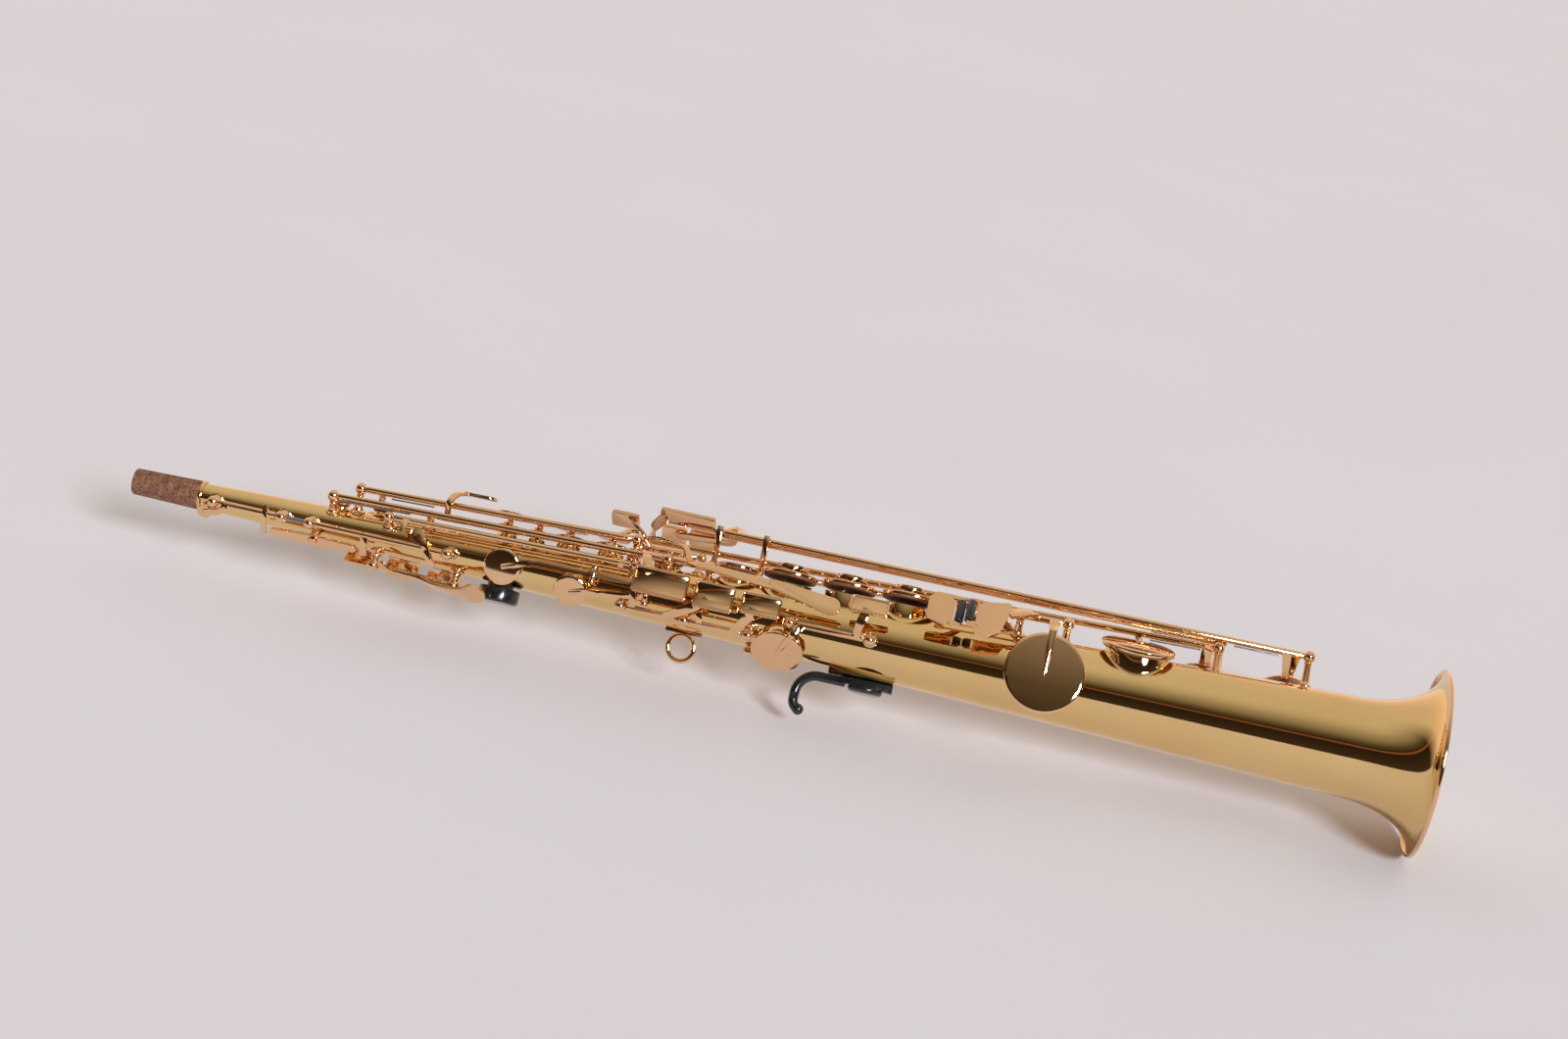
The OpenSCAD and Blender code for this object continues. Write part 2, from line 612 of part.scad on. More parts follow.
module side_c_key() color(pink_lacquer) lie() difference() {
    union() {
        cup(H_SIDE_C);
        arm([cup_top(H_SIDE_C), [206, 84, 19.2], P_SIDE_C, [254.6, 82, 20.4]], 2.6, 3);
        cross_bar(P_SIDE_C, pivot_half, barrel_d);
    }
    cross_bar(P_SIDE_C, pivot_half + 2, rod_d + 2 * hinge_gap);
}

module side_c_touch() color(pink_lacquer) lie() key(L_SIDE, 255, 280.5) {
    arm([[257.6, 116, 21.9], [257.6, 101, 22.9], [256, 83, 22.5]], 3, 2.8);
    arm([[274, 116, 22.7], [279, 107, 25], [288, 95, 25.8], [293, 84, 26.2]], 4, 5);
    tile(T_SIDE_C[0], T_SIDE_C[1], T_SIDE_C[2], 19.4, 13);
}

module side_bb_key() color(pink_lacquer) lie() difference() {
    union() {
        cup(H_SIDE_BB);
        arm([cup_top(H_SIDE_BB), [241, 107, 19.8], P_SIDE_BB, [288, 98, 20.8]], 2.6, 3);
        cross_bar(P_SIDE_BB, pivot_half, barrel_d);
    }
    cross_bar(P_SIDE_BB, pivot_half + 2, rod_d + 2 * hinge_gap);
}

module side_bb_touch() color(pink_lacquer) lie() key(L_SIDE, 286.5, 312) {
    arm([[291, 116, 23], [291, 108, 23.8], [290, 99, 22.9]], 3, 2.8);
    arm([[308, 116, 23.8], [311, 104, 26.2], [315, 92, 27.2], [317, 84, 27]], 4, 5);
    tile(T_SIDE_BB[0], T_SIDE_BB[1], T_SIDE_BB[2], 19.4, 10.6);
}

// Left-hand stack
LH_PEARL_R = 23.2;      // foot of the pearl holders, from the axis
module front_f_key() color(lacquer) lie() key(L_LH, 152.6, 168) {
    arm([[158, 29, 17], [158, 29.5, 25.6], [160, 14, 28.4], [164, 0, 28.6]], 2.4, 4);
    bar(pt(164, 0, 28.6), pt(174, -4, 28.8), radial(-2), 5, 9);
}

module lh_key(h, xa, xb, pearl_d) key(L_LH, xa, xb, OPEN_LH * open_sign(L_LH, h)) {
    padded_cup(L_LH, h[0], h);
    pearl_seat(h[0], h[1], cup_top(h)[2] - 0.3, LH_PEARL_R - LH_LIFT, pearl_d);
}
function open_sign(l, h) = line_angle(l, h[0]) > h[1] ? 1 : -1;
LH_LIFT = 2.4;
module lh_b_key() color(lacquer) lie() lh_key(H_LH_B, 168.3, 195.2, 14.6);
module lh_bis_key() color(lacquer) lie() lh_key(H_BIS, 195.5, 208, 10);
module lh_a_key() color(lacquer) lie() lh_key(H_LH_A, 208.3, 228, 15.6);
module lh_g_key() color(lacquer) lie() lh_key(H_LH_G, 228.3, 247.9, 15.6);

module lh_pearl(h, pearl_d) lie() swing(L_LH, OPEN_LH * open_sign(L_LH, h))
    pearl_disc(h[0], h[1], LH_PEARL_R - LH_LIFT, pearl_d);
module lh_b_pearl() lh_pearl(H_LH_B, 14.6);
module lh_bis_pearl() lh_pearl(H_BIS, 10);
module lh_a_pearl() lh_pearl(H_LH_A, 15.6);
module lh_g_pearl() lh_pearl(H_LH_G, 15.6);

// Left little finger's table
module gsharp_key() color(lacquer) lie() key(L_GS, 254.8, 280.2) {
    cup(H_GSHARP);
    arm([[266.5, -16, 23.4], [267.2, -7, 21.8], cup_top(H_GSHARP)], 3.6, 1.6);
    arm([[257, -16, 23.2], [251, -10, 30], [244, -19, 36]], 3.4, 5);
    tile(241, -24, 36, 14, 13);
}

module low_cs_key() color(pink_lacquer) lie() key(L_LCS, 253, 535) {
    padded_cup(L_LCS, 499, H_LOW_CS, 1.1, 4.6);
    arm([[256, -25.5, 29], [254.4, -27, 37], [260, -25, 43.8]], 4.6, 8);
    tile(271, -24, 43.2, 28, 12);
    arm([[533, -20, 35.4], [533, -8, 31], [533, 7, 24.4]], 4.4, 3);
}

module low_b_key() color(pink_lacquer) lie() key(L_LB, 291, 536, OPEN_LOW) {
    padded_cup(L_LB, 533, H_LOW_B, 0.8, 4.6);
    arm([[295.4, -23.6, 40.4], [294.6, -34, 40.2], [272, -36, 39.4], [266, -40, 41]], 4, 5);
    tile(264.5, -43, 41.4, 12.6, 12);
}

module low_bb_key() color(pink_lacquer) lie() key(L_LBB, 291, 577.7, OPEN_LOW) {
    padded_cup(L_LBB, 575, H_LOW_BB, 0.8, 4.4);
    arm([[299, -13.6, 39], [298, -23, 44.4], [291, -33, 44.4], [283, -40, 43.4]], 4, 5);
    tile(278.5, -43, 42.2, 12.6, 12);
    arm([[570, -13, 39], [570, -2, 33], [570, 7, 27]], 4.4, 3);
}

// Right-hand stack
RH_PEARL_H = 8.2;       // foot of the pearl holders above the tube, cups closed
module rh_key(h, xa, xb) key(L_RH, xa, xb, OPEN_RH * open_sign(L_RH, h)) {
    padded_cup(L_RH, h[0], h);
    pad_inside(h);
    pearl_seat(h[0], h[1], cup_top(h)[2] - 0.3, tube_r(h[0]) + RH_PEARL_H, 16);
}
module pad_inside(h) facing(h[0], h[1]) translate([0, 0, rim_r(h) + pad_gap])
    cylinder(h = pad_t, d = h[4] - 1.7);
module rh_f_key() color(lacquer) lie() rh_key(H_RH_F, 314, 342.5);
module rh_e_key() color(lacquer) lie() rh_key(H_RH_E, 342.8, 371.8);
module rh_d_key() color(lacquer) lie() rh_key(H_RH_D, 372.1, 401.4);

module rh_pearl(h) lie() swing(L_RH, OPEN_RH * open_sign(L_RH, h))
    pearl_disc(h[0], h[1], tube_r(h[0]) + RH_PEARL_H, 16);
module rh_f_pearl() rh_pearl(H_RH_F);
module rh_e_pearl() rh_pearl(H_RH_E);
module rh_d_pearl() rh_pearl(H_RH_D);

module fs_vent_key() color(lacquer) lie()
    key(L_RH, 291.6, 310.2, OPEN_RH * open_sign(L_RH, H_FS_VENT)) {
        padded_cup(L_RH, 301, H_FS_VENT);
        pad_inside(H_FS_VENT);
    }

module alt_fs_key() color(pink_lacquer) lie() key(L_ALT, 337.1, 369.9) {
    padded_cup(L_ALT, 340, H_ALT_FS, 0.4);
    pad_inside(H_ALT_FS);
    arm([[366, 90, 24], [367, 76, 28.6], [369, 62, 30]], 3.6, 4.6);
    tile(369.5, 58, 28.6, 19, 9, 1.8);
}

// Right little finger's plates lean against the hand: corners as [along X, up the plate]
PLATE_A = 53;           // angle their faces look out at
EB_PLATE = [[398, 1.5], [398, 12], [400.5, 15], [408, 15], [408, 1.5], [405, -0.5]];
C_PLATE = [[421.6, -5], [421.6, 13], [434, 16], [434.5, 14], [431, -2], [427, -5.5]];
plate_t = 1.5;
plate_r = 32.4;         // distance of the plates' backs from the axis
plate_up = 4.6;         // how far up the plates their drawing origin lies
module on_plate(r = plate_r) rotate([PLATE_A, 0, 0]) translate([0, -plate_up, r]) children();
module finger_plate(corners) on_plate() linear_extrude(plate_t) offset(r = 1.5) polygon(corners);

roller_d = 4.4;
roller_l = 13;
ROLLER_EB = 412.2;
ROLLER_C = 417;
module roller_at(x, d, len, lift = 0) on_plate(plate_r + 1)
    translate([x, 0.6 - lift, 0]) rotate([-90, 0, 0]) cylinder(h = len + 2 * lift, d = d);
module roller(x) color(black) lie() difference() {
    roller_at(x, roller_d, roller_l);
    roller_at(x, 1.4, roller_l, 1);
}
// Two lugs and a pin that hold a roller beside its plate
module roller_lugs(x, plate_edge) {
    lo = min(x - 0.9, plate_edge);
    hi = max(x + 0.9, plate_edge);
    on_plate() for (y = [-1.2, roller_l + 0.9]) translate([lo, y, -0.4]) cube([hi - lo, 1.5, 2.4]);
    roller_at(x, 1.28, roller_l, 1);
}

module eb_key() color(pink_lacquer) lie() {
    key(L_EBC, 406, 438) {
        padded_cup(L_EBC, 428, H_EB);
        arm([[412, 20, 28.9], [410, 30, 31], [406, 40, 32.6]], 4, 5);
    }
    finger_plate(EB_PLATE);
    roller_lugs(ROLLER_EB, 408);
}

module low_c_key() color(pink_lacquer) lie() swing(L_EBC, -OPEN_LOW) {
    key(L_EBC, 444, 461) {
        padded_cup(L_EBC, 457, H_LOW_C, 0.8, 5);
        arm([[448, 20, 30], [447, 31, 34], [435, 41, 33.6]], 4.4, 7);
    }
    finger_plate(C_PLATE);
    roller_lugs(ROLLER_C, 422);
}

module eb_roller() roller(ROLLER_EB);
module low_c_roller() color(black) lie() swing(L_EBC, -OPEN_LOW) difference() {
    roller_at(ROLLER_C, roller_d, roller_l);
    roller_at(ROLLER_C, 1.4, roller_l, 1);
}

module low_cs_pad() lie() pad(H_LOW_CS);
module low_b_pad() lie() swing(L_LB, OPEN_LOW) pad(H_LOW_B);
module low_bb_pad() lie() swing(L_LBB, OPEN_LOW) pad(H_LOW_BB);
module low_c_pad() lie() swing(L_EBC, -OPEN_LOW) pad(H_LOW_C);

body_tube();
bell_flare();
bell_rim();
neck_ring();
neck_cork();
octave_pips();
posts();
hinge_rods();
strap_ring();
hook_plate();
thumb_hook();
hook_screw();
thumb_rest();
needle_springs();
upper_octave_key();
octave_rocker();
lower_octave_key();
octave_thumb_lever();
octave_link();
palm_f_key();
palm_eb_key();
palm_d_key();
high_e_key();
high_fs_key();
high_fs_touch();
side_c_key();
side_c_touch();
side_bb_key();
side_bb_touch();
front_f_key();
lh_b_key();
lh_bis_key();
lh_a_key();
lh_g_key();
gsharp_key();
low_cs_key();
low_b_key();
low_bb_key();
fs_vent_key();
rh_f_key();
rh_e_key();
rh_d_key();
alt_fs_key();
eb_key();
low_c_key();
lh_b_pearl();
lh_bis_pearl();
lh_a_pearl();
lh_g_pearl();
rh_f_pearl();
rh_e_pearl();
rh_d_pearl();
eb_roller();
low_c_roller();
low_cs_pad();
low_b_pad();
low_bb_pad();
low_c_pad();
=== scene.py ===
"""Looks for the soprano saxophone: high-resolution body, softened key work, cork, leather,
pearl and lacquer materials, a pale floor, studio light and the camera.

Lengths are in millimetres in the helpers and in metres on the objects (MM converts).
A place on the horn is given as in the CAD: station along X, angle round the body from the
front stack (0) towards the player's right (90), and radius from the body's axis."""
import json
import math
import random

import bmesh
import bpy
from mathutils import Matrix, Vector

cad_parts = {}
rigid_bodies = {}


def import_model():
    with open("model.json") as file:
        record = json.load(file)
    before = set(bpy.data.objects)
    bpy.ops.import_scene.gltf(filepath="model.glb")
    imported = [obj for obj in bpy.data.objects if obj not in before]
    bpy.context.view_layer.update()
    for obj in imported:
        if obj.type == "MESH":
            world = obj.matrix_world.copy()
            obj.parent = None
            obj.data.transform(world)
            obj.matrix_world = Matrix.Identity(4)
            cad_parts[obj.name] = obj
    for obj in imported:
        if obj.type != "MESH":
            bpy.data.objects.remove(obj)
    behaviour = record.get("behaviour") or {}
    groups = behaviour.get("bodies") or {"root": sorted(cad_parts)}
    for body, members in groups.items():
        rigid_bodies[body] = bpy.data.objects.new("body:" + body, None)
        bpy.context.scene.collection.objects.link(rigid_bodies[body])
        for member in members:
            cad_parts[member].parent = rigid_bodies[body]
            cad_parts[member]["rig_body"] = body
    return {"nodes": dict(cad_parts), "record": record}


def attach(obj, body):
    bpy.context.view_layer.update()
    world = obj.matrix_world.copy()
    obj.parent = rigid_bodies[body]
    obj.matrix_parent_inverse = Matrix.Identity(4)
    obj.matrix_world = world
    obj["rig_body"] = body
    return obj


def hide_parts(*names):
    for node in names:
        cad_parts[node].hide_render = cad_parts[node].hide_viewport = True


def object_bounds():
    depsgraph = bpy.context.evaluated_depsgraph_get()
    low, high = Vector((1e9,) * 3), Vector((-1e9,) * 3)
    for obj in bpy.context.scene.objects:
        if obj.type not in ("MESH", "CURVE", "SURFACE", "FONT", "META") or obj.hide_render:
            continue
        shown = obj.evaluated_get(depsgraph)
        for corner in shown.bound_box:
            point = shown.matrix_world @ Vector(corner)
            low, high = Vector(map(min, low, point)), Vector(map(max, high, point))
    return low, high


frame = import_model()
CAD_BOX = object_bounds()
NODES = frame["nodes"]
MM = 0.001

# ---------------------------------------------------------------- the horn's own dimensions
ROLL = math.radians(25)         # the horn lies rolled back from keys-up
BODY_L = 645
BELL_R = 46
NECK_L = 34
NECK_TIP_R = 6.36
TAPER = 0.032
WALL = 0.7
FLARE_X = BODY_L - 40
RIM_WALL = 0.8                  # wall of a tone hole


def tube_r(x):
    return NECK_TIP_R + TAPER * (x - NECK_L)


FLARE_R = tube_r(FLARE_X)

# Tone holes: station, angle, hole diameter, rim height above the tube, cup diameter
HOLES = {
    "high_e": (104, 6, 5.6, 1.4, 9), "high_fs": (124, -8, 6, 1.4, 10),
    "palm_f": (118, -60, 6, 1.4, 10), "palm_eb": (137, -60, 7, 1.4, 11),
    "palm_d": (156, -60, 8, 1.4, 12), "lh_b": (187, -12, 9, 2.2, 14),
    "lh_bis": (202, -12, 7, 2.2, 11), "lh_a": (218, -12, 11, 2.2, 16),
    "lh_g": (239, -12, 12, 2.2, 17), "gsharp": (268, 4, 12, 2, 17),
    "side_c": (191, 101, 12.6, 2, 18), "side_bb": (226, 116, 11.6, 2, 16.4),
    "fs_vent": (302, 0, 15, 2.6, 20), "rh_f": (328, 0, 21.6, 3.4, 27.6),
    "rh_e": (357.3, 0, 21.6, 3.4, 27.6), "rh_d": (386.6, 0, 21.6, 3.4, 27.6),
    "alt_fs": (330, 136, 18.5, 2.4, 25.4), "eb": (428, -36, 18, 2.6, 24),
    "low_c": (457, 88, 31, 3.6, 38.5), "low_cs": (499, 12, 29, 2.2, 36),
    "low_b": (533, -78, 31, 3.4, 38.5), "low_bb": (575, -74, 32, 3.4, 39.5),
}

# Hinge lines: two points, each station, angle, radius
L_OCT = ((44, 100, 12.3), (164, 100, 17))
L_THUMB = ((127, 160, 16.6), (168, 160, 18.2))
L_LINK = ((131, 57, 16.5), (255, 57, 20.4))
L_PALM = ((106, -97, 15), (170, -97, 17.4))
L_E = ((101.5, 40, 17.5), (290, 40, 23.5))
L_FS = ((113, 18, 20.9), (252, 18, 25.3))
L_LH = ((150, 29, 16.4), (250.5, 29, 19.6))
L_SIDE = ((252, 116, 21.3), (315, 116, 23.3))
L_ALT = ((334, 90, 22.2), (373, 90, 23.4))
L_GS = ((252, -16, 22.5), (283, -16, 23.5))
L_RH = ((288.5, -35, 26.9), (404.5, -31, 29.9))
L_EBC = ((403, 20, 28.2), (464, 20, 30.1))
L_LCS = ((250, -25.6, 28.3), (538, -20, 35.7))
L_LB = ((288.5, -23.6, 39.9), (539, -23.4, 40.2))
L_LBB = ((288.5, -13.6, 38.4), (581, -13.1, 39.6))

# Ball posts: hinge line, stations, ball diameter
POSTS = [
    (L_OCT, (44, 79, 93.5, 164), 6), (L_THUMB, (127, 168), 6), (L_PALM, (106, 126.5, 146, 170), 6),
    (L_E, (101.5, 269.5, 290), 6), (L_FS, (113, 252), 6), (L_LH, (150, 250.5), 4.6),
    (L_LINK, (131, 255), 5.4), (L_SIDE, (252, 283.5, 315), 6), (L_ALT, (334, 373), 6),
    (L_GS, (252, 283), 5), (L_RH, (404.5,), 6), (L_EBC, (403, 441, 464), 6),
    (L_LCS, (250, 538), 6), (L_LB, (539,), 6), (L_LBB, (581,), 6),
]

# Keys with a cup: the hinge line they stand open about at rest, and by how much
CUPS = {
    "high_e": None, "high_fs": None, "palm_f": None, "palm_eb": None, "palm_d": None,
    "lh_b": (L_LH, 7), "lh_bis": (L_LH, 7), "lh_a": (L_LH, 7), "lh_g": (L_LH, 7),
    "gsharp": None, "side_c": None, "side_bb": None, "fs_vent": (L_RH, -6),
    "rh_f": (L_RH, -6), "rh_e": (L_RH, -6), "rh_d": (L_RH, -6), "alt_fs": None, "eb": None,
    "low_c": (L_EBC, -5), "low_cs": None, "low_b": (L_LB, 5), "low_bb": (L_LBB, 5),
}
PAD_GAP = 0.1
PAD_T = 2.2
CUP_H = 3.4


def at(x, angle, r):
    a = math.radians(angle)
    return Vector((x, -r * math.sin(a), r * math.cos(a)))


def on_line(line, x):
    a, b = at(*line[0]), at(*line[1])
    return a + (b - a) * (x - line[0][0]) / (line[1][0] - line[0][0])


def facing(x, angle, r=0):
    """A frame on the body's axis with its Z pointing out at that angle, r away from the axis."""
    turn = Matrix.Translation((x, 0, 0)) @ Matrix.Rotation(math.radians(angle), 4, "X")
    return turn @ Matrix.Translation((0, 0, r))


def swing(opened):
    """The turn that stands a sprung key open about its hinge line."""
    if opened is None:
        return Matrix.Identity(4)
    line, degrees = opened
    pivot, end = at(*line[0]), at(*line[1])
    turn = Matrix.Rotation(math.radians(degrees), 4, end - pivot)
    return Matrix.Translation(pivot) @ turn @ Matrix.Translation(-pivot)


def cup_place(key):
    x, angle, _, height, _ = HOLES[key]
    return swing(CUPS[key]) @ facing(x, angle, tube_r(x) + height + PAD_GAP)


# ---------------------------------------------------------------- node-tree helpers
def new_material(name):
    mat = bpy.data.materials.new(name)
    mat.use_nodes = True
    tree = mat.node_tree
    shader = tree.nodes["Principled BSDF"]
    return mat, tree, shader


def add(tree, kind, **values):
    node = tree.nodes.new(kind)
    for key, value in values.items():
        if key in node.inputs:
            node.inputs[key].default_value = value
        else:
            setattr(node, key, value)
    return node


def noise(tree, coords, scale, detail=4, rough=0.55):
    node = add(tree, "ShaderNodeTexNoise")
    node.inputs["Scale"].default_value = scale
    node.inputs["Detail"].default_value = detail
    node.inputs["Roughness"].default_value = rough
    tree.links.new(coords, node.inputs["Vector"])
    return node.outputs["Fac"]


def ramp(tree, source, stops):
    node = add(tree, "ShaderNodeValToRGB")
    band = node.color_ramp
    while len(band.elements) < len(stops):
        band.elements.new(0.5)
    for element, (place, colour) in zip(band.elements, stops):
        element.position = place
        element.color = (*colour, 1) if len(colour) == 3 else colour
    tree.links.new(source, node.inputs["Fac"])
    return node.outputs["Color"]


def mix_colours(tree, factor, a, b, blend="MIX"):
    """Factor is a number or a socket; a and b are colour sockets."""
    node = add(tree, "ShaderNodeMix", data_type="RGBA", blend_type=blend)
    if isinstance(factor, float):
        node.inputs[0].default_value = factor
    else:
        tree.links.new(factor, node.inputs[0])
    tree.links.new(a, node.inputs[6])
    tree.links.new(b, node.inputs[7])
    return node.outputs[2]


def spread(tree, source, low, high):
    node = add(tree, "ShaderNodeMapRange")
    node.inputs["From Min"].default_value = 0.3
    node.inputs["From Max"].default_value = 0.7
    node.inputs["To Min"].default_value = low
    node.inputs["To Max"].default_value = high
    tree.links.new(source, node.inputs["Value"])
    return node.outputs["Result"]


def bump(tree, shader, source, strength, distance):
    node = add(tree, "ShaderNodeBump")
    node.inputs["Strength"].default_value = strength
    node.inputs["Distance"].default_value = distance
    tree.links.new(source, node.inputs["Height"])
    tree.links.new(node.outputs["Normal"], shader.inputs["Normal"])


def object_coords(tree, stretch=(1, 1, 1)):
    coords = add(tree, "ShaderNodeTexCoord")
    mapping = add(tree, "ShaderNodeMapping")
    mapping.inputs["Scale"].default_value = stretch
    tree.links.new(coords.outputs["Object"], mapping.inputs["Vector"])
    return mapping.outputs["Vector"]


# ---------------------------------------------------------------- materials
def lacquer(name, light, deep, roughness):
    """Polished brass under clear tinted lacquer: faint clouding, wiped smears, fine dust."""
    mat, tree, shader = new_material(name)
    coords = object_coords(tree)
    clouds = noise(tree, coords, 18, 3)
    colour = ramp(tree, clouds, [(0.3, deep), (0.7, light)])
    tree.links.new(colour, shader.inputs["Base Color"])
    smears = noise(tree, object_coords(tree, (0.35, 1, 1)), 130, 5, 0.6)
    tree.links.new(spread(tree, smears, roughness * 0.7, roughness * 1.5), shader.inputs["Roughness"])
    shader.inputs["Metallic"].default_value = 1
    shader.inputs["Coat Weight"].default_value = 0.35
    shader.inputs["Coat Roughness"].default_value = 0.05
    bump(tree, shader, noise(tree, object_coords(tree, (0.5, 1, 1)), 260, 3), 0.012, 0.0004)
    return mat


def steel():
    mat, tree, shader = new_material("blued_steel")
    grain = noise(tree, object_coords(tree, (0.05, 1, 1)), 2500, 2)
    tree.links.new(ramp(tree, grain, [(0.3, (0.30, 0.30, 0.32)), (0.7, (0.42, 0.42, 0.44))]),
                   shader.inputs["Base Color"])
    tree.links.new(spread(tree, grain, 0.18, 0.34), shader.inputs["Roughness"])
    shader.inputs["Metallic"].default_value = 1
    return mat


def cork():
    """Sanded cork: warm brown cells, dark pores and pale flecks, quite matte."""
    mat, tree, shader = new_material("cork")
    coords = object_coords(tree)
    cells = add(tree, "ShaderNodeTexVoronoi", Scale=620.0)
    tree.links.new(coords, cells.inputs["Vector"])
    cloud = noise(tree, coords, 330, 6, 0.7)
    base = ramp(tree, cloud, [
        (0.28, (0.052, 0.020, 0.012)), (0.43, (0.19, 0.075, 0.038)),
        (0.58, (0.29, 0.125, 0.062)), (0.76, (0.46, 0.25, 0.14))])
    pores = ramp(tree, noise(tree, coords, 900, 2), [(0.36, (0.25, 0.2, 0.18)), (0.46, (1, 1, 1))])
    tree.links.new(mix_colours(tree, 0.8, base, pores, "MULTIPLY"), shader.inputs["Base Color"])
    shader.inputs["Roughness"].default_value = 0.72
    height = add(tree, "ShaderNodeMath", operation="ADD")
    tree.links.new(cloud, height.inputs[0])
    tree.links.new(cells.outputs["Distance"], height.inputs[1])
    bump(tree, shader, height.outputs["Value"], 0.5, 0.0006)
    return mat


def leather():
    mat, tree, shader = new_material("pad_leather")
    coords = object_coords(tree)
    cloud = noise(tree, coords, 160, 5)
    tree.links.new(ramp(tree, cloud, [(0.3, (0.16, 0.052, 0.026)), (0.7, (0.30, 0.115, 0.055))]),
                   shader.inputs["Base Color"])
    shader.inputs["Roughness"].default_value = 0.55
    grain = add(tree, "ShaderNodeTexVoronoi", Scale=2600.0)
    tree.links.new(coords, grain.inputs["Vector"])
    bump(tree, shader, grain.outputs["Distance"], 0.25, 0.0002)
    return mat


def pearl():
    mat, tree, shader = new_material("pearl")
    coords = object_coords(tree, (1, 1, 2.5))
    sheen = noise(tree, coords, 240, 4)
    tree.links.new(ramp(tree, sheen, [
        (0.3, (0.62, 0.66, 0.63)), (0.5, (0.84, 0.81, 0.76)), (0.7, (0.80, 0.70, 0.70))]),
        shader.inputs["Base Color"])
    shader.inputs["Roughness"].default_value = 0.18
    shader.inputs["Coat Weight"].default_value = 0.6
    shader.inputs["Subsurface Weight"].default_value = 0.1
    shader.inputs["Subsurface Scale"].default_value = 0.001
    return mat


def black_plastic():
    mat, tree, shader = new_material("black_plastic")
    cloud = noise(tree, object_coords(tree), 420, 5)
    tree.links.new(ramp(tree, cloud, [(0.3, (0.006, 0.006, 0.007)), (0.7, (0.014, 0.014, 0.016))]),
                   shader.inputs["Base Color"])
    tree.links.new(spread(tree, cloud, 0.16, 0.28), shader.inputs["Roughness"])
    shader.inputs["Coat Weight"].default_value = 0.3
    bump(tree, shader, cloud, 0.05, 0.0002)
    return mat


GOLD = lacquer("gold_lacquer", (0.87, 0.61, 0.28), (0.82, 0.55, 0.23), 0.045)
PINK = lacquer("pink_gold_lacquer", (0.90, 0.58, 0.33), (0.84, 0.51, 0.27), 0.07)
MATERIALS = {
    "gold_lacquer": GOLD, "pink_gold_lacquer": PINK, "steel": steel(), "cork": cork(),
    "pad_leather": leather(), "pearl": pearl(), "black_plastic": black_plastic(),
}
SLOT_OF = {row["node"]: row["material_slot"] for row in frame["record"]["subparts"]}


# ---------------------------------------------------------------- mesh helpers
def lie(v):
    """From the keys-up drawing frame to the lying frame."""
    return Matrix.Rotation(-ROLL, 3, "X") @ Vector(v)


def piece(name, bm, material, body="body", smooth_angle=35):
    """Turns a bmesh in millimetres into an object that rides on a body."""
    mesh = bpy.data.meshes.new(name)
    bmesh.ops.recalc_face_normals(bm, faces=bm.faces)
    for v in bm.verts:
        v.co = lie(v.co) * MM
    bm.to_mesh(mesh)
    bm.free()
    obj = bpy.data.objects.new(name, mesh)
    bpy.context.scene.collection.objects.link(obj)
    mesh.materials.append(MATERIALS[material])
    mesh.shade_smooth()
    mesh.set_sharp_from_angle(angle=math.radians(smooth_angle))
    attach(obj, body)
    return obj


def lathe(bm, profile, segments=192, closed=True):
    """Turns [x, r] points about the X axis."""
    rings = []
    for x, r in profile:
        ring = []
        for k in range(segments):
            t = 2 * math.pi * k / segments
            ring.append(bm.verts.new((x, r * math.cos(t), r * math.sin(t))))
        rings.append(ring)
    pairs = list(zip(rings, rings[1:]))
    if closed:
        pairs.append((rings[-1], rings[0]))
    for a, b in pairs:
        for k in range(segments):
            n = (k + 1) % segments
            bm.faces.new((a[k], a[n], b[n], b[k]))


def turned(bm, place, profile, segments=64):
    """Turns [r, z] points about the Z of a place; the profile may start and end on the axis."""
    rings = []
    for r, z in profile:
        if r == 0:
            rings.append([bm.verts.new(place @ Vector((0, 0, z)))])
            continue
        rings.append([
            bm.verts.new(place @ Vector((r * math.cos(t), r * math.sin(t), z)))
            for t in (2 * math.pi * k / segments for k in range(segments))])
    pairs = list(zip(rings, rings[1:]))
    if profile[0][0] and profile[-1][0]:
        pairs.append((rings[-1], rings[0]))
    for a, b in pairs:
        for k in range(segments):
            n = (k + 1) % segments
            if len(a) == 1:
                bm.faces.new((a[0], b[n], b[k]))
            elif len(b) == 1:
                bm.faces.new((a[k], a[n], b[0]))
            else:
                bm.faces.new((a[k], a[n], b[n], b[k]))


def flare_point(t, inset):
    return (
        FLARE_X + (BODY_L - FLARE_X - 1) * math.sin(t) + inset * math.sin(t),
        BELL_R - 1 - (BELL_R - 1 - FLARE_R + inset) * math.cos(t),
    )


def body_profile():
    """Outside from the tip to the bell's lip, then back along the bore."""
    steps = 28
    stations = [NECK_L + (FLARE_X - NECK_L) * k / 60 for k in range(61)]
    outside = [(0, 5.6), (NECK_L, 5.6)] + [(x, tube_r(x)) for x in stations]
    outside += [flare_point(math.pi / 2 * k / steps, 0) for k in range(1, steps + 1)]
    inside = [flare_point(math.pi / 2 * k / steps, WALL) for k in range(steps, 0, -1)]
    bore = [(x, 4.9 + (FLARE_R - WALL - 4.9) * (x - NECK_L) / (FLARE_X - NECK_L))
            for x in reversed(stations)]
    return outside + inside + bore + [(0, 4.9)]


def join_rings(bm, rings):
    """Faces between each ring of points and the next one."""
    for a, b in zip(rings, rings[1:]):
        for k in range(len(a)):
            n = (k + 1) % len(a)
            bm.faces.new((a[k], a[n], b[n], b[k]))


